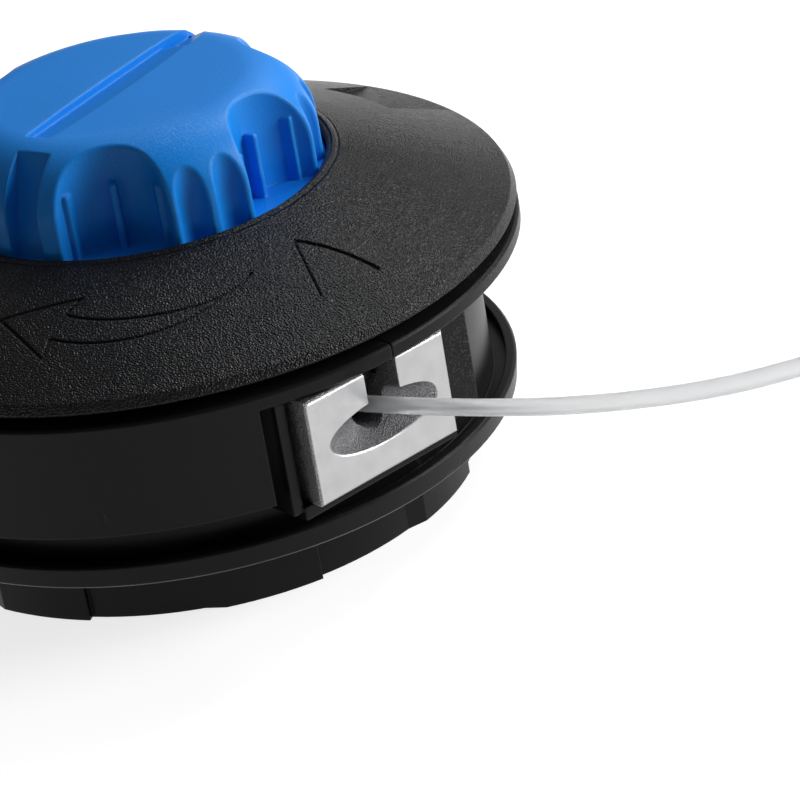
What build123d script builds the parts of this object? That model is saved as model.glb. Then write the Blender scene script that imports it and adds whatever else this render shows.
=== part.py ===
from build123d import *
import math
import os

os.makedirs("parts", exist_ok=True)

# Overall sizes, in millimetres, base on z = 0 and the spin axis on Z
head_radius = 55.0
flange_under_z = 9.3
rim_under_z = 34.3
rim_top_z = 36.7
cover_under_z = 38.7
cover_lip_z = 50.0
knob_radius = 28.1
knob_top_z = 64.1

# Clearances and fits
running_fit = 0.08
seat_gap = 0.02
turning_gap = 0.6
stop_gap = 0.3
press_grip = 0.02
knob_gap = 0.3
cover_hole_radius = knob_radius + knob_gap

# How far cutters run past a face, and how far added forms are rooted in their neighbour
cut_past = 1.0
root = 0.5

# Line
line_diameter = 2.4
line_radius = line_diameter / 2
line_points = [
    (-4.55, -46.0, 26.65),
    (-4.06, -56.0, 28.78),
    (-3.18, -74.0, 33.05),
    (-2.20, -94.0, 38.60),
    (-1.13, -116.0, 46.35),
    (-0.25, -134.0, 54.50),
    (0.50, -150.0, 62.90),
]
line_bend_share = 0.45

# Housing
wall_recess = 7.4
wall_thickness = 2.2
wall_radius = head_radius - wall_recess
chamber_radius = wall_radius - wall_thickness
floor_top_z = 12.0
flange_recess = 4.0
flange_radius = head_radius - flange_recess
flange_lip_z = 12.9
flange_lip_width = 1.3
tray_z = 11.4
edge_ease = 0.35
post_radius = 8.0
post_bore_radius = 5.6
post_top_z = 43.0

# Grip ring under the flange
grip_count = 8
grip_first_angle = -14.3
grip_recess_angle = 22.0
grip_ramp_angle = 4.0
grip_depth = 1.0
grip_recess = 7.8
grip_thickness = 3.0
grip_radius = flange_radius - grip_recess
grip_inner_radius = grip_radius - grip_thickness

# Skirts hanging from the rim beside each eyelet
skirt_thickness = 2.0
skirt_under_z = 19.7
skirt_end_angle = -113.5
skirt_arc = 62.0

# Eyelets and their pockets, written for the near one, which faces -Y
eyelet_left_x = -16.5
eyelet_right_x = 9.3
eyelet_under_z = 17.7
eyelet_top_z = 33.9
eyelet_recess = 1.4
eyelet_front_y = eyelet_recess - head_radius
eyelet_thickness = 5.0
eyelet_back_y = eyelet_front_y + eyelet_thickness
eyelet_edge = 0.4
slot_left_x = line_points[0][0] - line_radius + press_grip
slot_width = 6.0
slot_round_z = 26.2
mouth_x = -3.4
mouth_z = 25.7
mouth_half_width = 10.3
mouth_half_height = 3.5
mouth_depth = 4.4
throat_half_width = 3.0
throat_half_height = 2.5
neck_left_x = -9.2
neck_right_x = 2.4
neck_under_z = 21.5
neck_top_z = 29.6
neck_length = 3.0
neck_inner_y = eyelet_back_y + neck_length
pocket_left_x = -18.0
pocket_right_x = 10.6
pocket_ledge_z = 15.7
pocket_ledge_recess = 2.2
pocket_ledge_y = eyelet_front_y + pocket_ledge_recess
pocket_foot_z = 17.0
pocket_root_depth = 7.4
pocket_root_y = pocket_root_depth - chamber_radius
line_window_left_x = -0.4
line_window_right_x = 2.4
line_window_top_z = 32.2
rim_split_x = -1.25
rim_split_width = 0.2
rim_split_depth = 4.0
left_rib_width = 1.7
left_rib_recess = 2.6
left_rib_y = eyelet_front_y + left_rib_recess
right_cheek_x = 17.2
right_cheek_recess = 4.3
right_cheek_y = eyelet_front_y + right_cheek_recess

# Cover
cover_edge_inset = 0.7
cover_edge_radius = head_radius - cover_edge_inset
cover_edge_z = 40.4
cover_lip_width = 1.0
cover_lip_drop = 0.6
cover_thickness = 2.3
cover_seat_overhang = 1.4
cover_seat_width = 2.4
cover_seat_outer = wall_radius + cover_seat_overhang
cover_seat_inner = cover_seat_outer - cover_seat_width
spigot_gap = 0.5
spigot_thickness = 1.7
spigot_outer = chamber_radius - spigot_gap
spigot_inner = spigot_outer - spigot_thickness
spigot_under_z = 34.5
arm_under_z = 26.0
arm_arc = 18.0
barb_height = 2.0
barb_reach = 0.2
window_arc = 21.0
window_under_z = 25.0
window_top_z = 30.5
scoop_length = 10.8
scoop_inner_radius = cover_edge_radius - scoop_length
scoop_arc = 20.4
scoop_wall = 1.8
scoop_drop = 1.3
stop_ring_inner = 35.0
stop_ring_outer = 37.4
mark_width = 0.5
mark_depth = 0.4

# Marks on the cover as (angle, radius) pairs: a wind arrow and an alignment mark
arrow_head = [(-144.2, 38.9), (-141.2, 36.2), (-158.1, 40.0), (-146.2, 46.5), (-145.9, 43.0)]
arrow_upper = [(-144.2, 38.9), (-134.6, 40.4), (-123.9, 40.8), (-115.3, 40.6), (-103.9, 38.0)]
arrow_lower = [(-145.9, 43.0), (-136.9, 44.2), (-128.4, 44.0), (-117.7, 42.2), (-112.6, 40.4)]
align_line_width = 0.3
align_curve_width = 0.75
align_mark = [(-96.0, 46.4), (-90.3, 35.8)]
align_curve = [(-90.3, 35.8), (-85.3, 40.6), (-83.2, 46.9)]

# Tap knob
knob_grip_step = 0.15
knob_dome_rise = 0.7
knob_shoulder_z = knob_top_z - knob_dome_rise
knob_dome_share = 0.75
knob_shoulder_round = 10.1
knob_cavity_radius = 19.0
knob_crown = 4.1
knob_cavity_z = knob_top_z - knob_crown
knob_angle = -133.0
scallop_count = 6
scallop_depth = 7.1
scallop_inner_radius = knob_radius - scallop_depth
scallop_cut_radius = 8.6
scallop_ledge_z = 48.2
rib_spread = 15.2
rib_width = 1.1
rib_drop = 6.1
rib_top_z = knob_top_z - rib_drop
rib_sink = 1.0
rib_inner_radius = scallop_inner_radius - rib_sink
rib_mid_reach = 2.0
rib_mid_radius = scallop_inner_radius + rib_mid_reach
rib_side_reach = 4.7
rib_side_radius = scallop_inner_radius + rib_side_reach
rib_round = 0.4
flute_spread = 6.2
flute_depth = 2.2
flute_inner_radius = knob_radius - flute_depth
flute_cut_radius = 2.3
slot_gaps = (2, 5)
slot_turn = 1.2
knob_slot_width = 5.6
slot_foot_depth = 1.8
knob_slot_foot_radius = knob_radius - slot_foot_depth
slot_head_depth = 6.7
knob_slot_head_radius = knob_radius - slot_head_depth
knob_edge_round = 0.55
groove_turn = -1.2
groove_depth = 1.4
groove_end_depth = 2.5
groove_end_start = 15.0
groove_near = 18.6
groove_reach = 22.0

# Spool, windings and spring
tap_travel = 6.0
spool_side_gap = 1.2
spool_radius = spigot_inner - spool_side_gap
spool_flange = 1.7
spool_top_z = 41.7
spool_mid_z = 30.2
spool_mid_flange = 1.2
spool_core_radius = 19.5
spool_bore_radius = 15.0
spool_web_z = 36.0
spool_web = 2.5
spool_sleeve_radius = 10.6
spool_spigot_z = 45.0
winding_radius = 34.0
winding_round = 1.1
dog_count = 6
dog_arc = 14.0
spool_dog_inner = 22.0
spool_dog_outer = 26.0
floor_dog_inner = 27.0
floor_dog_outer = 31.0
dog_height = 1.4
spool_under_z = floor_top_z + turning_gap + tap_travel + dog_height
washer_radius = 12.6
washer_thickness = 1.0
spring_radius = 10.5
spring_wire_radius = 0.8
spring_wire_sides = 12
spring_turns = 6.5

# Drive nut with a left-hand M10 x 1.25 thread, drawn at its minor diameter
nut_flats = 17.0
nut_under_z = 0.6
nut_stem_radius = 7.0
nut_thread_radius = 4.35
nut_lead = 0.8


def polar(radius, angle, height=0.0):
    return (radius * math.cos(math.radians(angle)), radius * math.sin(math.radians(angle)), height)


def turned(points, arc=360.0, middle=0.0):
    section = make_face(Plane.XZ * Polyline(*points, close=True))
    return Rot(0, 0, middle - arc / 2) * revolve(section, Axis.Z, arc)


def ring(inner, outer, low, high, arc=360.0, middle=0.0):
    return turned([(inner, low), (outer, low), (outer, high), (inner, high)], arc, middle)


def block(x0, x1, y0, y1, z0, z1):
    return Pos((x0 + x1) / 2, (y0 + y1) / 2, (z0 + z1) / 2) * Box(abs(x1 - x0), abs(y1 - y0), abs(z1 - z0))


def both_sides(shape):
    return [shape, Rot(0, 0, 180) * shape]


# Slope of the cover's cone, falling outwards
cone_inner_radius = cover_hole_radius + cover_lip_width
cone_inner_z = cover_lip_z
cone_slope = (cone_inner_z - cover_edge_z) / (cover_edge_radius - cone_inner_radius)


def cone_z(radius):
    return cone_inner_z - (radius - cone_inner_radius) * cone_slope


def grip_outline():
    pitch = 360.0 / grip_count
    edges = []
    for index in range(grip_count):
        start = grip_first_angle + index * pitch
        rise = start + grip_recess_angle
        crest = rise + grip_ramp_angle
        end = start + pitch
        low = grip_radius
        high = grip_radius + grip_depth
        edges.append(ThreePointArc(polar(low, start), polar(low, (start + rise) / 2), polar(low, rise)))
        edges.append(Line(polar(low, rise), polar(high, crest)))
        edges.append(ThreePointArc(polar(high, crest), polar(high, (crest + end) / 2), polar(high, end)))
        edges.append(Line(polar(high, end), polar(low, end)))
    return make_face(edges)


def build_housing():
    lip_inner = flange_radius - flange_lip_width
    shell = turned([
        (flange_radius - edge_ease, flange_under_z),
        (flange_radius, flange_under_z + edge_ease),
        (flange_radius + edge_ease, flange_lip_z - edge_ease),
        (flange_radius, flange_lip_z),
        (lip_inner, flange_lip_z),
        (lip_inner, tray_z),
        (wall_radius, tray_z),
        (wall_radius, rim_under_z),
        (head_radius - edge_ease, rim_under_z),
        (head_radius, rim_under_z + edge_ease),
        (head_radius, rim_top_z - edge_ease),
        (head_radius - edge_ease, rim_top_z),
        (chamber_radius, rim_top_z),
        (chamber_radius, floor_top_z),
        (post_radius, floor_top_z),
        (post_radius, post_top_z),
        (post_bore_radius, post_top_z),
        (post_bore_radius, floor_top_z),
        (nut_stem_radius + seat_gap, floor_top_z),
        (nut_stem_radius + seat_gap, flange_under_z),
    ])
    grip = extrude(grip_outline() - Circle(grip_inner_radius), flange_under_z + edge_ease)
    body = shell + grip
    skirt_middle = skirt_end_angle - skirt_arc / 2
    skirt_inner = head_radius - skirt_thickness
    skirt_high_z = rim_top_z - edge_ease
    skirt = ring(skirt_inner, head_radius, skirt_under_z, skirt_high_z, skirt_arc, skirt_middle)
    left_rib_x = pocket_left_x - left_rib_width
    pocket = block(pocket_left_x, pocket_right_x, eyelet_back_y, pocket_root_y, pocket_foot_z, rim_under_z)
    pocket += block(
        pocket_left_x, pocket_right_x,
        pocket_ledge_y, pocket_root_y,
        pocket_ledge_z, eyelet_under_z,
    )
    pocket += block(left_rib_x, pocket_left_x, left_rib_y, pocket_root_y, pocket_foot_z, rim_under_z)
    pocket += block(pocket_right_x, right_cheek_x, right_cheek_y, pocket_root_y, pocket_foot_z, rim_under_z)
    pocket -= Pos(0, 0, rim_top_z / 2) * Cylinder(chamber_radius, rim_top_z)
    for shape in both_sides(skirt) + both_sides(pocket):
        body += shape
    neck_window = block(
        neck_left_x - seat_gap, neck_right_x + seat_gap,
        eyelet_back_y - seat_gap, pocket_root_y,
        neck_under_z - seat_gap, neck_top_z + seat_gap,
    )
    line_window = block(
        line_window_left_x, line_window_right_x,
        eyelet_back_y - seat_gap, pocket_root_y,
        neck_top_z, line_window_top_z,
    )
    rim_split = block(
        rim_split_x, rim_split_x + rim_split_width,
        -head_radius - cut_past, rim_split_depth - head_radius,
        rim_under_z - cut_past, rim_top_z + cut_past,
    )
    for cut in (neck_window, line_window, rim_split):
        for shape in both_sides(cut):
            body -= shape
    window_inner = chamber_radius - cut_past
    window_outer = wall_radius + cut_past
    for middle in (0.0, 180.0):
        body -= ring(window_inner, window_outer, window_under_z, window_top_z, window_arc, middle)
    dog_top_z = floor_top_z + dog_height
    for index in range(dog_count):
        angle = index * 360.0 / dog_count
        body += ring(floor_dog_inner, floor_dog_outer, floor_top_z - root, dog_top_z, dog_arc, angle)
    return body


def build_nut():
    outline = RegularPolygon(nut_flats / 2, 6, major_radius=False)
    nut = Pos(0, 0, nut_under_z) * extrude(outline, flange_under_z - nut_under_z)
    nut += ring(0.0, nut_stem_radius, flange_under_z - root, floor_top_z)
    nut -= ring(0.0, nut_thread_radius, nut_under_z, floor_top_z)
    lead_radius = nut_thread_radius + nut_lead
    nut -= turned([(0, nut_under_z), (lead_radius, nut_under_z), (0, nut_under_z + lead_radius)])
    return nut


def build_eyelet():
    plate = block(eyelet_left_x, eyelet_right_x, eyelet_front_y, eyelet_back_y, eyelet_under_z, eyelet_top_z)
    plate = chamfer(plate.faces().sort_by(Axis.Y)[0].edges(), eyelet_edge)
    neck = block(neck_left_x, neck_right_x, eyelet_back_y, neck_inner_y, neck_under_z, neck_top_z)
    eyelet = plate + neck
    slot_middle = slot_left_x + slot_width / 2
    slot_right_x = slot_left_x + slot_width
    slot_front_y = eyelet_front_y - cut_past
    slot_end_y = neck_inner_y + cut_past
    slot_high_z = eyelet_top_z + cut_past
    slot = block(slot_left_x, slot_right_x, slot_front_y, slot_end_y, slot_round_z, slot_high_z)
    slot_end = Rot(90, 0, 0) * Cylinder(slot_width / 2, slot_end_y - slot_front_y)
    slot += Pos(slot_middle, (slot_front_y + slot_end_y) / 2, slot_round_z) * slot_end
    front = Plane(origin=(mouth_x, eyelet_front_y, mouth_z), x_dir=(1, 0, 0), z_dir=(0, -1, 0))
    deep_y = eyelet_front_y + mouth_depth
    deep = Plane(origin=(slot_middle, deep_y, slot_round_z), x_dir=(1, 0, 0), z_dir=(0, -1, 0))
    wide_end = front * Ellipse(mouth_half_width, mouth_half_height)
    mouth = loft([wide_end, deep * Ellipse(throat_half_width, throat_half_height)])
    eyelet -= slot
    eyelet -= mouth
    return eyelet


def mark_shapes():
    shapes = []
    straight = ((arrow_head, mark_width), (align_mark, align_line_width))
    for path, width in straight:
        shapes.append(trace(Polyline(*[polar(radius, angle)[:2] for angle, radius in path]), width))
    curved = ((arrow_upper, mark_width), (arrow_lower, mark_width), (align_curve, align_curve_width))
    for path, width in curved:
        shapes.append(trace(Spline(*[polar(radius, angle)[:2] for angle, radius in path]), width))
    return shapes


def build_cover():
    under_inner_z = cone_z(cover_hole_radius) - cover_thickness
    under_radius = cover_hole_radius + (under_inner_z - cover_under_z) / cone_slope
    cover = turned([
        (cover_hole_radius, under_inner_z),
        (under_radius, cover_under_z),
        (head_radius - edge_ease, cover_under_z),
        (head_radius, cover_under_z + edge_ease),
        (cover_edge_radius, cover_edge_z),
        (cone_inner_radius, cone_inner_z),
        (cover_hole_radius, cone_inner_z - cover_lip_drop),
    ])
    seat_high = cone_z(cover_seat_outer) - cover_thickness / 2
    cover += ring(cover_seat_inner, cover_seat_outer, rim_top_z, seat_high)
    spigot_high = cone_z(spigot_outer) - cover_thickness / 2
    cover += ring(spigot_inner, spigot_outer, spigot_under_z, spigot_high)
    bridge_low = rim_top_z + stop_gap + root
    cover += ring(spigot_inner + root, cover_seat_inner + root, bridge_low, spigot_high - edge_ease)
    stop_high = cone_z(stop_ring_outer) - cover_thickness / 2
    cover += ring(stop_ring_inner, stop_ring_outer, spool_top_z + stop_gap, stop_high)
    for middle in (0.0, 180.0):
        cover += ring(spigot_inner, spigot_outer, arm_under_z, spigot_under_z + root, arm_arc, middle)
        cover += turned([
            (spigot_outer - root, arm_under_z),
            (spigot_outer, arm_under_z),
            (spigot_outer + barb_reach, arm_under_z + barb_height),
            (spigot_outer - root, arm_under_z + barb_height),
        ], arm_arc, middle)
        scoop_floor_radius = scoop_inner_radius + scoop_wall
        scoop_rim = cover_edge_radius - edge_ease
        cover -= turned([
            (scoop_inner_radius, cone_z(scoop_inner_radius)),
            (scoop_floor_radius, cone_z(scoop_floor_radius) - scoop_drop),
            (scoop_rim, cone_z(scoop_rim)),
            (scoop_rim, cover_lip_z),
            (scoop_inner_radius, cover_lip_z),
        ], scoop_arc, middle)
    mark_inner = cone_inner_radius + root
    mark_outer = cover_edge_radius - root
    skin = turned([
        (mark_inner, cone_z(mark_inner) - mark_depth),
        (mark_outer, cone_z(mark_outer) - mark_depth),
        (mark_outer, cover_lip_z),
        (mark_inner, cover_lip_z),
    ])
    for shape in mark_shapes():
        cut = extrude(shape, cover_lip_z) & skin
        for side in both_sides(cut):
            cover -= side
    return cover


def groove(start, end, depth):
    half = knob_slot_width / 2
    high = knob_top_z + cut_past
    floor_z = knob_top_z - depth
    section = Polyline((-half, high), (-half, knob_top_z), (half, floor_z), (half, high), close=True)
    return Pos(start, 0, 0) * extrude(make_face(Plane.YZ * section), end - start, dir=(1, 0, 0))


def is_grip_edge(edge):
    middle = edge @ 0.5
    outside = math.hypot(middle.X, middle.Y) > scallop_inner_radius - root
    return outside and middle.Z > scallop_ledge_z + root


def is_rib_edge(edge):
    middle = edge @ 0.5
    return middle.X > rib_inner_radius + root and middle.Z > scallop_ledge_z


def build_knob():
    peak = (0.0, knob_top_z)
    grip_radius = knob_radius - knob_grip_step
    shoulder = (grip_radius, knob_shoulder_z)
    side = Polyline(peak, (0.0, spool_top_z), (grip_radius, spool_top_z), shoulder)
    dome_mid_z = knob_shoulder_z + knob_dome_share * (knob_top_z - knob_shoulder_z)
    dome = ThreePointArc(shoulder, (grip_radius / 2, dome_mid_z), peak)
    section = make_face(Plane.XZ * (side + dome))
    corner = section.vertices().group_by(Axis.X)[-1].sort_by(Axis.Z)[-1]
    knob = revolve(fillet(corner, knob_shoulder_round), Axis.Z)
    pitch = 360.0 / scallop_count
    past_radius = knob_radius + cut_past
    cut_height = knob_top_z - spool_top_z + 2 * cut_past
    cut_middle_z = (knob_top_z + spool_top_z) / 2
    scallop_place = Pos(scallop_inner_radius + scallop_cut_radius, 0, cut_middle_z)
    scallop = scallop_place * Cylinder(scallop_cut_radius, cut_height)
    flute_place = Pos(flute_inner_radius + flute_cut_radius, 0, cut_middle_z)
    flute = flute_place * Cylinder(flute_cut_radius, cut_height)
    slot = extrude(make_face(Plane.XZ * Polyline(
        (knob_slot_foot_radius, scallop_ledge_z),
        (past_radius, scallop_ledge_z),
        (past_radius, knob_top_z),
        (knob_slot_head_radius, knob_top_z),
        close=True,
    )), knob_slot_width / 2, both=True)
    for index in range(scallop_count):
        knob -= Rot(0, 0, knob_angle + index * pitch) * scallop
        if index not in slot_gaps:
            for offset in (-flute_spread, flute_spread):
                knob -= Rot(0, 0, knob_angle + (index + 0.5) * pitch + offset) * flute
    knob = fillet(knob.edges().filter_by(is_grip_edge), knob_edge_round)
    knob += ring(0.0, knob_radius, spool_top_z, scallop_ledge_z)
    for index in slot_gaps:
        knob -= Rot(0, 0, knob_angle + (index + 0.5) * pitch + slot_turn) * slot
    rib_low_z = scallop_ledge_z - root
    ribs = ((-rib_spread, rib_side_radius), (0.0, rib_mid_radius), (rib_spread, rib_side_radius))
    for index in range(scallop_count):
        turn = Rot(0, 0, knob_angle + index * pitch)
        for offset, reach in ribs:
            rib = block(rib_inner_radius, reach, -rib_width / 2, rib_width / 2, rib_low_z, rib_top_z)
            rib = fillet(rib.edges().filter_by(is_rib_edge), rib_round)
            knob += turn * Rot(0, 0, offset) * rib
    along = Rot(0, 0, knob_angle + (slot_gaps[0] + 0.5) * pitch + groove_turn)
    knob -= along * groove(-groove_near, groove_reach, groove_depth)
    knob -= along * groove(groove_end_start, groove_reach, groove_end_depth)
    knob -= ring(0.0, knob_cavity_radius, spool_top_z, knob_cavity_z)
    return knob


def build_spool():
    sleeve_bore = post_radius + running_fit
    spigot_radius = knob_cavity_radius - seat_gap
    spool = turned([
        (spool_bore_radius, spool_under_z),
        (spool_radius, spool_under_z),
        (spool_radius, spool_under_z + spool_flange),
        (spool_core_radius, spool_under_z + spool_flange),
        (spool_core_radius, spool_mid_z),
        (spool_radius, spool_mid_z),
        (spool_radius, spool_mid_z + spool_mid_flange),
        (spool_core_radius, spool_mid_z + spool_mid_flange),
        (spool_core_radius, spool_top_z - spool_flange),
        (spool_radius, spool_top_z - spool_flange),
        (spool_radius, spool_top_z),
        (spigot_radius, spool_top_z),
        (spigot_radius, spool_spigot_z),
        (spool_bore_radius, spool_spigot_z),
        (spool_bore_radius, spool_web_z + spool_web),
        (spool_sleeve_radius, spool_web_z + spool_web),
        (spool_sleeve_radius, spool_top_z),
        (sleeve_bore, spool_top_z),
        (sleeve_bore, spool_web_z),
        (spool_bore_radius, spool_web_z),
    ])
    spool_dog_z = spool_under_z - dog_height
    for index in range(dog_count):
        angle = index * 360.0 / dog_count
        spool += ring(spool_dog_inner, spool_dog_outer, spool_dog_z, spool_under_z + root, dog_arc, angle)
    return spool


def build_winding(low, high):
    winding = ring(spool_core_radius, winding_radius, low, high)
    outer = winding.edges().filter_by(GeomType.CIRCLE).group_by(SortBy.RADIUS)[-1]
    return fillet(outer, winding_round)


def build_washer():
    return ring(post_radius + running_fit, washer_radius, floor_top_z, floor_top_z + washer_thickness)


def build_spring():
    low = floor_top_z + washer_thickness
    height = spool_web_z - low
    path = Helix(height / spring_turns, height, spring_radius)
    section = RegularPolygon(spring_wire_radius, spring_wire_sides)
    wire = sweep(Plane(origin=path @ 0, z_dir=path % 0) * section, path, is_frenet=True)
    ground = ring(0.0, spring_radius * 2, low, low + height)
    return (Pos(0, 0, low) * wire) & ground


def build_line():
    points = [Vector(*point) for point in line_points]
    radii = []
    for before, here, after in zip(points, points[1:], points[2:]):
        turn = math.radians((here - before).get_angle(after - here))
        shorter = min((here - before).length, (after - here).length)
        radii.append(line_bend_share * shorter / math.tan(turn / 2))
    path = FilletPolyline(*points, radius=radii)
    line = sweep(Plane(origin=path @ 0, z_dir=path % 0) * Circle(line_radius), path)
    print("line length", round(path.length, 2), "bend radii", [round(radius) for radius in radii])
    print("line volume ratio", round(line.volume / (math.pi * line_radius ** 2 * path.length), 4))
    return line


eyelet = build_eyelet()
parts = {
    "housing": build_housing(),
    "drive_nut": build_nut(),
    "near_eyelet": eyelet,
    "far_eyelet": Rot(0, 0, 180) * eyelet,
    "cover": build_cover(),
    "tap_knob": build_knob(),
    "spool": build_spool(),
    "upper_winding": build_winding(spool_mid_z + spool_mid_flange, spool_top_z - spool_flange),
    "lower_winding": build_winding(spool_under_z + spool_flange, spool_mid_z),
    "spring_washer": build_washer(),
    "spool_spring": build_spring(),
    "line": build_line(),
}
for name, shape in parts.items():
    export_step(shape, f"parts/{name}.step")
    print(name, "solids", len(shape.solids()), "volume", round(shape.volume, 1), "valid", shape.is_valid)
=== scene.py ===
import math

import bpy
import numpy as np
from mathutils import Matrix, Vector


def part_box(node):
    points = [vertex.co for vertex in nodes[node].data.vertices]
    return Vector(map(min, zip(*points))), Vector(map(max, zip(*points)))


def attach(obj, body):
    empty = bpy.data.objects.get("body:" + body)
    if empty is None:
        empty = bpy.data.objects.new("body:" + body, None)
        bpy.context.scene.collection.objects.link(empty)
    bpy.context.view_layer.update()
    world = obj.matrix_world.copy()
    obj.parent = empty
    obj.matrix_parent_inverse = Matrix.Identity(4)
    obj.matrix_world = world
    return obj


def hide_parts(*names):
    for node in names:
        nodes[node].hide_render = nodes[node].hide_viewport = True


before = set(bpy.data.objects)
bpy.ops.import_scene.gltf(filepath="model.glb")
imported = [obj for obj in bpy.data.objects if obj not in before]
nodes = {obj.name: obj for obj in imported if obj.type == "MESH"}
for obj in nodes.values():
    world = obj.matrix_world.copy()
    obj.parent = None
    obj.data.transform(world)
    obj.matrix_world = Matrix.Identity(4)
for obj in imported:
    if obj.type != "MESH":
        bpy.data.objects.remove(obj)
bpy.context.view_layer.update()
scene = bpy.context.scene
scene.view_settings.view_transform = "Standard"
mm = 0.001
print("frame loaded,", len(nodes), "nodes")


# camera: eye, the point it looks at, and a small roll, for a square picture
shot = {
    "eye": (-0.29508, -0.43419, 0.27138),
    "aim": (0.01627, -0.03237, 0.01349),
    "rollDegrees": -9.74,
    "lens": 174.36,
    "sensor": 36.0,
}


def placeCamera(shot):
    data = bpy.data.cameras.new("shotCamera")
    data.lens = shot["lens"]
    data.sensor_width = shot["sensor"]
    camera = bpy.data.objects.new("shotCamera", data)
    scene.collection.objects.link(camera)
    look = Vector(shot["aim"]) - Vector(shot["eye"])
    turn = look.to_track_quat("-Z", "Y").to_matrix().to_4x4()
    roll = Matrix.Rotation(math.radians(shot["rollDegrees"]), 4, "Z")
    camera.matrix_world = Matrix.Translation(shot["eye"]) @ turn @ roll
    scene.camera = camera


placeCamera(shot)
print("camera placed")


# small helpers for node trees
def startMaterial(name):
    material = bpy.data.materials.new(name)
    material.use_nodes = True
    return material, material.node_tree, material.node_tree.nodes["Principled BSDF"]


def addNode(tree, kind, values=None, links=None, **settings):
    node = tree.nodes.new("ShaderNode" + kind)
    for key, value in settings.items():
        setattr(node, key, value)
    for key, value in (values or {}).items():
        node.inputs[key].default_value = value
    for key, source in (links or {}).items():
        tree.links.new(source, node.inputs[key])
    return node


def setSockets(shader, values):
    for key, value in values.items():
        shader.inputs[key].default_value = value


def objectPoint(tree):
    return addNode(tree, "TexCoord").outputs["Object"]


# noise at a feature size in metres, stretched to run from 0 to 1 over a span of its values
def noiseMask(tree, point, size, limits, detail=2.0):
    noise = addNode(tree, "TexNoise", {"Scale": 1.0 / size, "Detail": detail}, {"Vector": point})
    span = {"From Min": limits[0], "From Max": limits[1]}
    return addNode(tree, "MapRange", span, {"Value": noise.outputs["Fac"]}).outputs["Result"]


# round spots: cell centres of a Voronoi pattern, kept only where the cell's own colour is high
def speckMask(tree, point, spacing, radius, limits):
    cells = addNode(tree, "TexVoronoi", {"Scale": 1.0 / spacing}, {"Vector": point})
    inside = {"From Min": radius / spacing, "From Max": 0.5 * radius / spacing}
    dots = addNode(tree, "MapRange", inside, {"Value": cells.outputs["Distance"]}).outputs["Result"]
    tint = addNode(tree, "SeparateColor", links={"Color": cells.outputs["Color"]}).outputs["Red"]
    span = {"From Min": limits[0], "From Max": limits[1]}
    keep = addNode(tree, "MapRange", span, {"Value": tint})
    return multiply(tree, dots, keep.outputs["Result"])


# thin lines: a noise squeezed along one axis, kept only in a narrow band of its values
def scratchMask(tree, point, turnDegrees, length, width, band):
    turned = addNode(tree, "Mapping", links={"Vector": point})
    turned.inputs["Rotation"].default_value = (0.0, 0.0, math.radians(turnDegrees))
    turned.inputs["Scale"].default_value = (1.0 / length, 1.0 / width, 1.0 / length)
    noise = addNode(tree, "TexNoise", {"Scale": 1.0, "Detail": 0.0}, {"Vector": turned.outputs["Vector"]})
    middle = 0.5
    halves = []
    for edge in (middle + band, middle - band):
        span = {"From Min": edge, "From Max": middle}
        halves.append(addNode(tree, "MapRange", span, {"Value": noise.outputs["Fac"]}).outputs["Result"])
    return multiply(tree, *halves)


def multiply(tree, first, second):
    node = addNode(tree, "Math", operation="MULTIPLY", use_clamp=True)
    for socket, value in zip(node.inputs, (first, second)):
        if isinstance(value, (int, float)):
            socket.default_value = value
        else:
            tree.links.new(value, socket)
    return node.outputs["Value"]


def mixColor(tree, factor, first, second):
    node = addNode(tree, "Mix", data_type="RGBA")
    tree.links.new(factor, node.inputs["Factor"])
    sockets = [s for s in node.inputs if s.type == "RGBA"]
    for socket, value in zip(sockets, (first, second)):
        if isinstance(value, tuple):
            socket.default_value = (*value, 1.0)
        else:
            tree.links.new(value, socket)
    return [s for s in node.outputs if s.type == "RGBA"][0]


# a soft ball: 1 round its middle and 0 past its radius
def ballMask(tree, point, middle, radius):
    away = addNode(tree, "VectorMath", {1: middle}, {0: point}, operation="DISTANCE")
    span = {"From Min": radius, "From Max": 0.3 * radius}
    return addNode(tree, "MapRange", span, {"Value": away.outputs["Value"]}).outputs["Result"]


# edges: 1 where the rounded normal leans away from the flat one
edgeLean = {"From Min": 0.995, "From Max": 0.80}


def edgeMask(tree, radius):
    bevel = addNode(tree, "Bevel", {"Radius": radius}, samples=6)
    flat = addNode(tree, "NewGeometry").outputs["Normal"]
    dot = addNode(tree, "VectorMath", operation="DOT_PRODUCT")
    tree.links.new(bevel.outputs["Normal"], dot.inputs[0])
    tree.links.new(flat, dot.inputs[1])
    mask = addNode(tree, "MapRange", edgeLean, {"Value": dot.outputs["Value"]}).outputs["Result"]
    return mask, bevel.outputs["Normal"]


# the point dropped to the floor, and its distance from the spin axis
def spinReach(tree, point):
    flatten = addNode(tree, "VectorMath", {1: (1.0, 1.0, 0.0)}, {0: point}, operation="MULTIPLY")
    level = flatten.outputs["Vector"]
    return level, addNode(tree, "VectorMath", links={0: level}, operation="LENGTH").outputs["Value"]


# a slight crown: the normal leans in at the start radius and out at the end radius
def crownNormal(tree, point, normal, crown):
    level, reach = spinReach(tree, point)
    span = {
        "From Min": crown["start"],
        "From Max": crown["end"],
        "To Min": crown["leanIn"],
        "To Max": crown["leanOut"],
    }
    lean = addNode(tree, "MapRange", span, {"Value": reach}).outputs["Result"]
    outward = addNode(tree, "VectorMath", links={0: level}, operation="NORMALIZE").outputs["Vector"]
    tilt = addNode(tree, "VectorMath", links={0: outward, "Scale": lean}, operation="SCALE").outputs["Vector"]
    total = addNode(tree, "VectorMath", links={0: normal, 1: tilt}, operation="ADD").outputs["Vector"]
    return addNode(tree, "VectorMath", links={0: total}, operation="NORMALIZE").outputs["Vector"]


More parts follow.
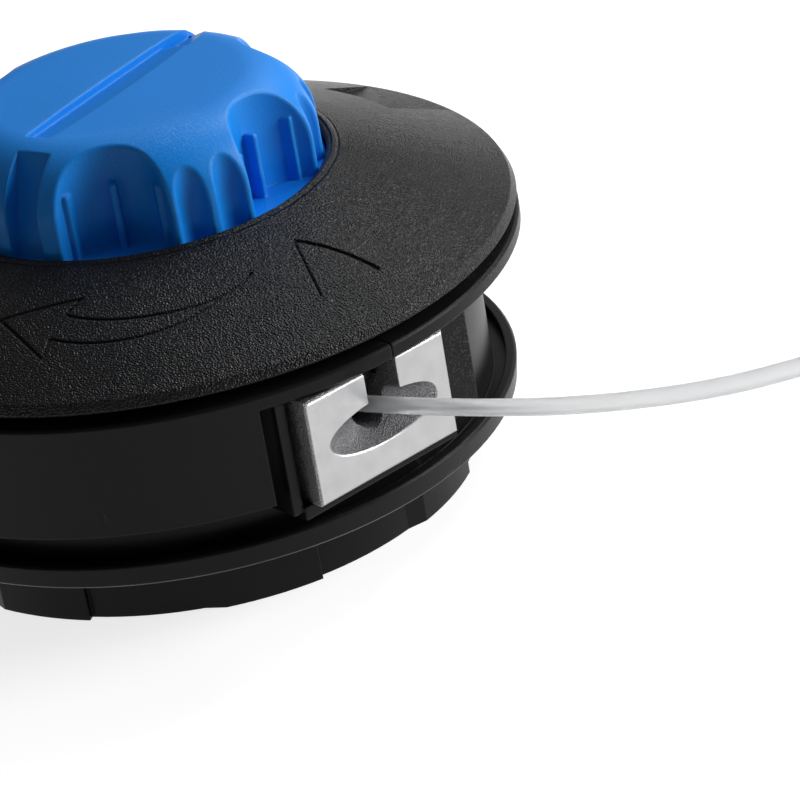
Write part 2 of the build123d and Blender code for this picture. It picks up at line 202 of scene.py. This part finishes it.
# ring grooves round the spin axis: 1 in the middle of each groove and 0 outside it
def ringMask(tree, point, rings):
    reach = spinReach(tree, point)[1]
    masks = []
    for radius in rings["radii"]:
        away = addNode(tree, "Math", {1: radius}, {0: reach}, operation="SUBTRACT").outputs["Value"]
        away = addNode(tree, "Math", links={0: away}, operation="ABSOLUTE").outputs["Value"]
        span = {"From Min": rings["width"] / 2, "From Max": 0.0}
        masks.append(addNode(tree, "MapRange", span, {"Value": away}).outputs["Result"])
    return anyOf(tree, masks)


# the greatest of several values
def anyOf(tree, outputs):
    first = outputs[0]
    for other in outputs[1:]:
        first = addNode(tree, "Math", links={0: first, 1: other}, operation="MAXIMUM").outputs["Value"]
    return first


# moulded plastic: fine spark-eroded grain, cloudy colour, dust specks, scratches, rubbed edges, and pale
# patches round given points: scuffs on the cover, a paler patch on the housing wall, and a painted highlight
# on the knob's shoulder
def mouldedPlastic(name, look):
    material, tree, shader = startMaterial(name)
    point = objectPoint(tree)
    cloud = noiseMask(tree, point, look["cloudSize"], look["cloudLimits"], 4.0)
    color = mixColor(tree, cloud, look["color"], look["cloudColor"])
    edges, rounded = edgeMask(tree, look["edgeRound"])
    rubbed = multiply(tree, edges, look["edgeWear"])
    color = mixColor(tree, rubbed, color, look["edgeColor"])
    specks = speckMask(tree, point, look["speckSpacing"], look["speckRadius"], look["speckLimits"])
    color = mixColor(tree, multiply(tree, specks, look["speckStrength"]), color, look["dustAndSheenColor"])
    for turn in look["scratchTurns"]:
        lines = scratchMask(tree, point, turn, *look["scratchSize"], look["scratchBand"])
        patch = noiseMask(tree, point, look["patchSize"], look["patchLimits"])
        wearAndSheen = multiply(tree, multiply(tree, lines, patch), look["scratchStrength"])
        color = mixColor(tree, wearAndSheen, color, look["dustAndSheenColor"])
    # pale patches round given points: scuffs on the cover, a paler patch on the housing wall, and on the knob
    # a painted highlight where its shoulder catches the light
    for paleSpot in look["scuffsAndSheen"]:
        ball = ballMask(tree, point, paleSpot["middle"], paleSpot["radius"])
        dots = noiseMask(tree, point, paleSpot["size"], look["scuffAndSheenLimits"], 1.0)
        wearAndSheen = multiply(tree, multiply(tree, ball, dots), paleSpot["strength"])
        color = mixColor(tree, wearAndSheen, color, look["dustAndSheenColor"])
    tree.links.new(color, shader.inputs["Base Color"])
    grain = addNode(tree, "TexNoise", {"Scale": 1.0 / look["grainSize"], "Detail": 0.0}, {"Vector": point})
    gloss = {"To Min": look["roughLow"], "To Max": look["roughHigh"]}
    rough = addNode(tree, "MapRange", gloss, {"Value": cloud})
    tree.links.new(rough.outputs["Result"], shader.inputs["Roughness"])
    bump = addNode(tree, "Bump", {"Strength": look["grainStrength"], "Distance": look["grainDepth"]})
    tree.links.new(grain.outputs["Fac"], bump.inputs["Height"])
    if "crown" in look:
        rounded = crownNormal(tree, point, rounded, look["crown"])
        grooves = addNode(tree, "Bump", {"Strength": 1.0, "Distance": look["rings"]["depth"]}, invert=True)
        tree.links.new(ringMask(tree, point, look["rings"]), grooves.inputs["Height"])
        tree.links.new(rounded, grooves.inputs["Normal"])
        rounded = grooves.outputs["Normal"]
    tree.links.new(rounded, bump.inputs["Normal"])
    tree.links.new(bump.outputs["Normal"], shader.inputs["Normal"])
    setSockets(shader, look["sockets"])
    return material


# trimmer line: one smooth curve through the eyelet, cut off bare at its end
trimLine = {
    "route": [
        (-4.55, -46.0, 26.65),
        (-4.06, -56.0, 28.78),
        (-3.18, -74.0, 33.05),
        (-2.20, -94.0, 38.60),
        (-1.13, -116.0, 46.35),
        (-0.25, -134.0, 54.50),
        (0.50, -150.0, 62.90),
    ],
    "diameter": 2.4 * mm,
    "length": 110.7 * mm,
    "color": (0.975, 0.985, 1.0),
    "cloudColor": (0.99, 0.995, 1.0),
    "cloudSize": 0.012,
    "cloudLimits": (0.35, 0.65),
    "grain": {"Scale": 1400.0, "Detail": 2.0},
    "bump": {"Strength": 0.12, "Distance": 0.0001},
    "sockets": {
        "Roughness": 0.3,
        "Transmission Weight": 0.80,
        "IOR": 1.53,
        "Subsurface Weight": 0.5,
        "Subsurface Radius": (1.0, 1.0, 1.0),
        "Subsurface Scale": 0.0005,
    },
}


def nylonMaterial(name, look):
    material, tree, shader = startMaterial(name)
    point = objectPoint(tree)
    cloud = noiseMask(tree, point, look["cloudSize"], look["cloudLimits"])
    tree.links.new(mixColor(tree, cloud, look["color"], look["cloudColor"]), shader.inputs["Base Color"])
    grain = addNode(tree, "TexNoise", look["grain"], {"Vector": point})
    bump = addNode(tree, "Bump", look["bump"], {"Height": grain.outputs["Fac"]})
    tree.links.new(bump.outputs["Normal"], shader.inputs["Normal"])
    setSockets(shader, look["sockets"])
    return material


nylon = nylonMaterial("clearNylon", trimLine)


def layLine(spec):
    curve = bpy.data.curves.new("trimmer_line", "CURVE")
    curve.dimensions = "3D"
    curve.bevel_depth = spec["diameter"] / 2
    curve.bevel_resolution = 6
    curve.resolution_u = 16
    curve.use_fill_caps = True
    spline = curve.splines.new("NURBS")
    spline.points.add(len(spec["route"]) - 1)
    points = np.ones((len(spec["route"]), 4))
    points[:, :3] = np.array(spec["route"]) * mm
    spline.points.foreach_set("co", points.ravel())
    spline.order_u = 3
    spline.use_endpoint_u = True
    curve.materials.append(nylon)
    line = bpy.data.objects.new("trimmer_line", curve)
    scene.collection.objects.link(line)
    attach(line, "body")
    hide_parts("line")


layLine(trimLine)
print("line laid")


# puts a grid of points, closed round its second parameter, into a mesh with capped ends
def tubeMesh(name, grid):
    along, around = grid.shape[:2]
    i, j = np.meshgrid(np.arange(along - 1), np.arange(around), indexing="ij")
    k = (j + 1) % around
    quads = np.stack([i * around + j, (i + 1) * around + j, (i + 1) * around + k, i * around + k], axis=-1)
    caps = [list(range(around)), list(range((along - 1) * around, along * around))[::-1]]
    mesh = bpy.data.meshes.new(name)
    mesh.from_pydata(grid.reshape(-1, 3).tolist(), [], quads.reshape(-1, 4).tolist() + caps)
    mesh.polygons.foreach_set("use_smooth", np.ones(len(mesh.polygons), dtype=bool))
    mesh.update()
    return mesh


# wound line: layers of turns, each layer running back over the one below
woundLine = {
    "lineRadius": 1.2 * mm,
    "innerRadius": 19.5 * mm,
    "layerSlack": 0.05,
    "turnsPerLayer": 2.5,
    "stepsPerTurn": 90,
    "sides": 10,
    "climb": 0.12,
}


# the path is a helix that goes up and down between the flanges, climbing one line's width at each
# end of its travel; the section is a circle in the plane of the radius and the spin axis
def windLine(node, spec):
    low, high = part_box(node)
    radius = spec["lineRadius"]
    inner = spec["innerRadius"]
    outer = high.x
    layers = int((outer - inner) / (2 * radius) + spec["layerSlack"])
    count = int(layers * spec["turnsPerLayer"] * spec["stepsPerTurn"])
    turns = np.linspace(0.0, layers * spec["turnsPerLayer"], count)
    layer = np.minimum(np.floor(turns / spec["turnsPerLayer"]), layers - 1)
    share = turns / spec["turnsPerLayer"] - layer
    rise = np.clip((share - 1 + spec["climb"]) / spec["climb"], 0.0, 1.0)
    rise = np.where(layer < layers - 1, rise * rise * (3 - 2 * rise), 0.0)
    pathRadius = inner + radius + 2 * radius * (layer + rise)
    travel = np.where(layer % 2 == 0, share, 1 - share)
    height = low.z + radius + (high.z - low.z - 2 * radius) * travel
    angle = 2 * np.pi * turns
    side = np.linspace(0.0, 2 * np.pi, spec["sides"], endpoint=False)
    reach = pathRadius[:, None] + radius * np.cos(side)[None, :]
    grid = np.empty((count, spec["sides"], 3))
    grid[..., 0] = reach * np.cos(angle)[:, None]
    grid[..., 1] = reach * np.sin(angle)[:, None]
    grid[..., 2] = height[:, None] + radius * np.sin(side)[None, :]
    piece = bpy.data.objects.new("wound_" + node, tubeMesh("wound_" + node, grid))
    scene.collection.objects.link(piece)
    piece.data.materials.append(nylon)
    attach(piece, "reel")
    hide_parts(node)


for node in ("upper_winding", "lower_winding"):
    windLine(node, woundLine)
print("spool wound")


# finishes of the CAD pieces
plasticLook = {
    "color": (0.0075, 0.0075, 0.0080),
    "cloudColor": (0.0105, 0.0105, 0.0112),
    "cloudSize": 0.02,
    "cloudLimits": (0.35, 0.65),
    "edgeRound": 0.0004,
    "edgeWear": 0.30,
    "edgeColor": (0.045, 0.045, 0.048),
    "dustAndSheenColor": (0.42, 0.42, 0.41),
    "speckSpacing": 0.0042,
    "speckRadius": 0.00018,
    "speckStrength": 0.40,
    "speckLimits": (0.93, 0.97),
    "scratchTurns": (20.0, 75.0),
    "scratchStrength": 0.12,
    "scratchSize": (0.05, 0.0011),
    "scratchBand": 0.008,
    "patchSize": 0.016,
    "patchLimits": (0.58, 0.66),
    "scuffAndSheenLimits": (0.54, 0.72),
    "grainSize": 0.00030,
    "grainStrength": 0.60,
    "grainDepth": 0.00007,
    "roughLow": 0.30,
    "roughHigh": 0.38,
    "sockets": {"IOR": 1.46, "Specular IOR Level": 0.24},
}
coverLook = dict(
    plasticLook,
    crown={"start": 0.034, "end": 0.050, "leanIn": -0.045, "leanOut": 0.08},
    rings={"radii": (0.0291, 0.0302), "width": 0.0006, "depth": 0.0003},
    grainSize=0.00026,
    grainStrength=1.0,
    grainDepth=0.00022,
    roughLow=0.24,
    roughHigh=0.30,
    scuffsAndSheen=[
        {"middle": (-0.022, -0.034, 0.046), "radius": 0.016, "size": 0.00045, "strength": 0.04},
        {"middle": (0.012, -0.040, 0.046), "radius": 0.022, "size": 0.00030, "strength": 0.05},
    ],
)
housingLook = dict(
    plasticLook,
    edgeWear=0.06,
    speckSpacing=0.006,
    grainStrength=0.15,
    scratchStrength=0.06,
    # a paler patch on the front of the housing wall, beside the near eyelet
    scuffsAndSheen=[{"middle": (0.024, -0.050, 0.027), "radius": 0.014, "size": 0.00030, "strength": 0.24}],
    roughLow=0.28,
    roughHigh=0.36,
    sockets={"IOR": 1.46, "Specular IOR Level": 0.15},
)
knobLook = dict(
    plasticLook,
    color=(0.006, 0.225, 0.73),
    cloudColor=(0.009, 0.240, 0.78),
    edgeRound=0.0006,
    edgeWear=0.18,
    edgeColor=(0.05, 0.32, 0.86),
    # pale blue for dust specks and scratches, and for the painted highlight patches on the shoulder
    dustAndSheenColor=(0.55, 0.72, 0.95),
    speckSpacing=0.003,
    speckRadius=0.00018,
    speckStrength=0.35,
    scratchStrength=0.05,
    # painted highlight: pale grainy patches on the front of the knob's shoulder, where the light catches it
    scuffsAndSheen=[
        {"middle": (-0.0047, -0.0205, 0.0625), "radius": 0.0075, "size": 0.00025, "strength": 0.14},
        {"middle": (-0.0120, -0.0172, 0.0625), "radius": 0.0065, "size": 0.00025, "strength": 0.08},
        {"middle": (-0.0180, -0.0105, 0.0625), "radius": 0.0060, "size": 0.00025, "strength": 0.05},
    ],
    grainSize=0.0004,
    grainStrength=0.30,
    roughLow=0.34,
    roughHigh=0.42,
    sockets={"IOR": 1.46, "Specular IOR Level": 0.26},
)
spoolLook = dict(
    housingLook,
    color=(0.02, 0.02, 0.022),
    cloudColor=(0.028, 0.028, 0.03),
)
castLook = {
    "color": (0.47, 0.47, 0.48),
    "cloudColor": (0.53, 0.53, 0.53),
    # skin and pit colours are darker than the face partly as cast skin and partly as painted shade in the
    # recesses
    "skinAndShadeColor": (0.18, 0.18, 0.19),
    "pitAndShadeColor": (0.36, 0.36, 0.37),
    "skinDepth": 0.00025,
    "pitSize": 0.00022,
    "rough": (0.30, 0.46),
    "cloudSize": 0.003,
    "cloudLimits": (0.3, 0.7),
    "pitLimits": (0.40, 0.62),
    "pitStrength": (0.12, 0.8),
    "pitDepth": 0.00010,
    "edgeRound": 0.0005,
    "edgeWear": 0.5,
    "edgeColor": (0.80, 0.80, 0.80),
}
steelLook = {
    "color": (0.46, 0.46, 0.47),
    "cloudColor": (0.56, 0.56, 0.56),
    "rough": (0.28, 0.42),
    "cloudSize": 0.004,
    "cloudLimits": (0.3, 0.7),
    "edgeRound": 0.0004,
    "grain": {"Scale": 2600.0, "Detail": 3.0},
    "bump": {"Strength": 0.35, "Distance": 0.00012},
}


# plated metal: cloudy tone, fine pits and rounded edges
def plainMetal(name, look):
    material, tree, shader = startMaterial(name)
    point = objectPoint(tree)
    cloud = noiseMask(tree, point, look["cloudSize"], look["cloudLimits"], 4.0)
    tree.links.new(mixColor(tree, cloud, look["color"], look["cloudColor"]), shader.inputs["Base Color"])
    gloss = {"To Min": look["rough"][0], "To Max": look["rough"][1]}
    rough = addNode(tree, "MapRange", gloss, {"Value": cloud})
    tree.links.new(rough.outputs["Result"], shader.inputs["Roughness"])
    rounded = edgeMask(tree, look["edgeRound"])[1]
    grain = addNode(tree, "TexNoise", look["grain"], {"Vector": point})
    bump = addNode(tree, "Bump", look["bump"], {"Height": grain.outputs["Fac"]})
    tree.links.new(rounded, bump.inputs["Normal"])
    tree.links.new(bump.outputs["Normal"], shader.inputs["Normal"])
    setSockets(shader, {"Metallic": 1.0})
    return material


# die casting: a linished front face, and a pitted skin wherever it lies deeper than that face; the skin is
# darker partly as cast skin and partly as painted shade in the recesses, which get less light
def castMetal(name, look, frontReach):
    material, tree, shader = startMaterial(name)
    point = objectPoint(tree)
    place = addNode(tree, "SeparateXYZ", links={"Vector": point}).outputs["Y"]
    reach = addNode(tree, "Math", links={0: place}, operation="ABSOLUTE").outputs["Value"]
    span = {"From Min": frontReach - 0.4 * look["skinDepth"], "From Max": frontReach - look["skinDepth"]}
    skin = addNode(tree, "MapRange", span, {"Value": reach}).outputs["Result"]
    cloud = noiseMask(tree, point, look["cloudSize"], look["cloudLimits"], 4.0)
    pits = noiseMask(tree, point, look["pitSize"], look["pitLimits"], 1.0)
    face = mixColor(tree, cloud, look["color"], look["cloudColor"])
    # the deeper skin's colour: partly the cast skin, partly painted shade where the eyelet lies deeper
    skinAndShadeTone = mixColor(tree, pits, look["skinAndShadeColor"], look["pitAndShadeColor"])
    color = mixColor(tree, skin, face, skinAndShadeTone)
    edges, rounded = edgeMask(tree, look["edgeRound"])
    color = mixColor(tree, multiply(tree, edges, look["edgeWear"]), color, look["edgeColor"])
    tree.links.new(color, shader.inputs["Base Color"])
    gloss = {"To Min": look["rough"][0], "To Max": look["rough"][1]}
    rough = addNode(tree, "MapRange", gloss, {"Value": skin})
    tree.links.new(rough.outputs["Result"], shader.inputs["Roughness"])
    span = {"To Min": look["pitStrength"][0], "To Max": look["pitStrength"][1]}
    deep = addNode(tree, "MapRange", span, {"Value": skin})
    pitted = {"Height": pits, "Strength": deep.outputs["Result"]}
    bump = addNode(tree, "Bump", {"Distance": look["pitDepth"]}, pitted)
    tree.links.new(rounded, bump.inputs["Normal"])
    tree.links.new(bump.outputs["Normal"], shader.inputs["Normal"])
    setSockets(shader, {"Metallic": 1.0})
    return material


eyeletMetal = castMetal("diecastMetal", castLook, -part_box("near_eyelet")[0].y)
zincSteel = plainMetal("zincSteel", steelLook)
finishes = {
    "housing": mouldedPlastic("housingBlack", housingLook),
    "cover": mouldedPlastic("coverBlack", coverLook),
    "tap_knob": mouldedPlastic("knobBlue", knobLook),
    "spool": mouldedPlastic("spoolBlack", spoolLook),
    "near_eyelet": eyeletMetal,
    "far_eyelet": eyeletMetal,
    "drive_nut": zincSteel,
    "spring_washer": zincSteel,
    "spool_spring": zincSteel,
}
for name, material in finishes.items():
    nodes[name].data.materials.clear()
    nodes[name].data.materials.append(material)
print("finishes given")


# stage: white floor that keeps the shadow, a world brighter on the right, and soft lamps
studio = {
    "floorHalf": 3.0,
    "floorColor": (0.45, 0.45, 0.45),
    "floorGlow": 0.78,
    "paperSize": 0.4,
    "paperLimits": (0.3, 0.7),
    "paperDim": 0.98,
    "brightSide": (0.664, 0.242, 0.707),
    "brightSpan": (0.60, 0.98),
    "brightCurve": 3.0,
    "dimLevel": 0.12,
    "brightLevel": 1.15,
    "lampAim": (0.0, 0.0, 0.03),
    "lamps": [
        {"name": "sparkLamp", "place": (0.775, 0.08, 0.81), "size": 0.3, "watts": 3.4},
        {"name": "keyLamp", "place": (0.84, -0.72, 0.51), "size": 0.6, "watts": 12.5},
    ],
}


def buildFloor(studio):
    half = studio["floorHalf"]
    corners = [(-half, -half, 0.0), (half, -half, 0.0), (half, half, 0.0), (-half, half, 0.0)]
    mesh = bpy.data.meshes.new("floor")
    mesh.from_pydata(corners, [], [(0, 1, 2, 3)])
    floor = bpy.data.objects.new("floor", mesh)
    scene.collection.objects.link(floor)
    material, tree, shader = startMaterial("paperFloor")
    tone = noiseMask(tree, objectPoint(tree), studio["paperSize"], studio["paperLimits"])
    dimmed = tuple(studio["paperDim"] * c for c in studio["floorColor"])
    paper = mixColor(tree, tone, studio["floorColor"], dimmed)
    tree.links.new(paper, shader.inputs["Base Color"])
    path = addNode(tree, "LightPath")
    kinds = ("Is Camera Ray", "Is Glossy Ray", "Is Transmission Ray")
    seen = anyOf(tree, [path.outputs[kind] for kind in kinds])
    glow = addNode(tree, "Math", {1: studio["floorGlow"]}, {0: seen}, operation="MULTIPLY")
    tree.links.new(glow.outputs["Value"], shader.inputs["Emission Strength"])
    setSockets(shader, {"Emission Color": (1.0, 1.0, 1.0, 1.0), "Roughness": 0.9, "Specular IOR Level": 0.0})
    mesh.materials.append(material)


def buildWorld(studio):
    world = bpy.data.worlds.new("studioWorld")
    scene.world = world
    world.use_nodes = True
    tree = world.node_tree
    sky = tree.nodes["Background"]
    white = addNode(tree, "Background", {"Color": (1.0, 1.0, 1.0, 1.0), "Strength": 1.0})
    side = addNode(tree, "VectorMath", operation="DOT_PRODUCT")
    tree.links.new(addNode(tree, "TexCoord").outputs["Generated"], side.inputs[0])
    side.inputs[1].default_value = Vector(studio["brightSide"]).normalized()
    start, full = studio["brightSpan"]
    near = addNode(tree, "MapRange", {"From Min": start, "From Max": full}, {"Value": side.outputs["Value"]})
    curve = addNode(tree, "Math", {1: studio["brightCurve"]}, {0: near.outputs["Result"]}, operation="POWER")
    span = {"To Min": studio["dimLevel"], "To Max": studio["brightLevel"]}
    level = addNode(tree, "MapRange", span, {"Value": curve.outputs["Value"]})
    tree.links.new(level.outputs["Result"], sky.inputs["Strength"])
    sky.inputs["Color"].default_value = (1.0, 1.0, 1.0, 1.0)
    path = addNode(tree, "LightPath")
    seen = anyOf(tree, [path.outputs[kind] for kind in ("Is Camera Ray", "Is Transmission Ray")])
    mix = addNode(tree, "MixShader", links={0: seen, 1: sky.outputs[0], 2: white.outputs[0]})
    tree.links.new(mix.outputs[0], tree.nodes["World Output"].inputs["Surface"])


def hangLamp(lamp, aim):
    data = bpy.data.lights.new(lamp["name"], "AREA")
    data.size = lamp["size"]
    data.energy = lamp["watts"]
    light = bpy.data.objects.new(lamp["name"], data)
    scene.collection.objects.link(light)
    look = Vector(aim) - Vector(lamp["place"])
    turn = look.to_track_quat("-Z", "Y").to_matrix().to_4x4()
    light.matrix_world = Matrix.Translation(lamp["place"]) @ turn


buildFloor(studio)
buildWorld(studio)
for lamp in studio["lamps"]:
    hangLamp(lamp, studio["lampAim"])
print("stage lit")
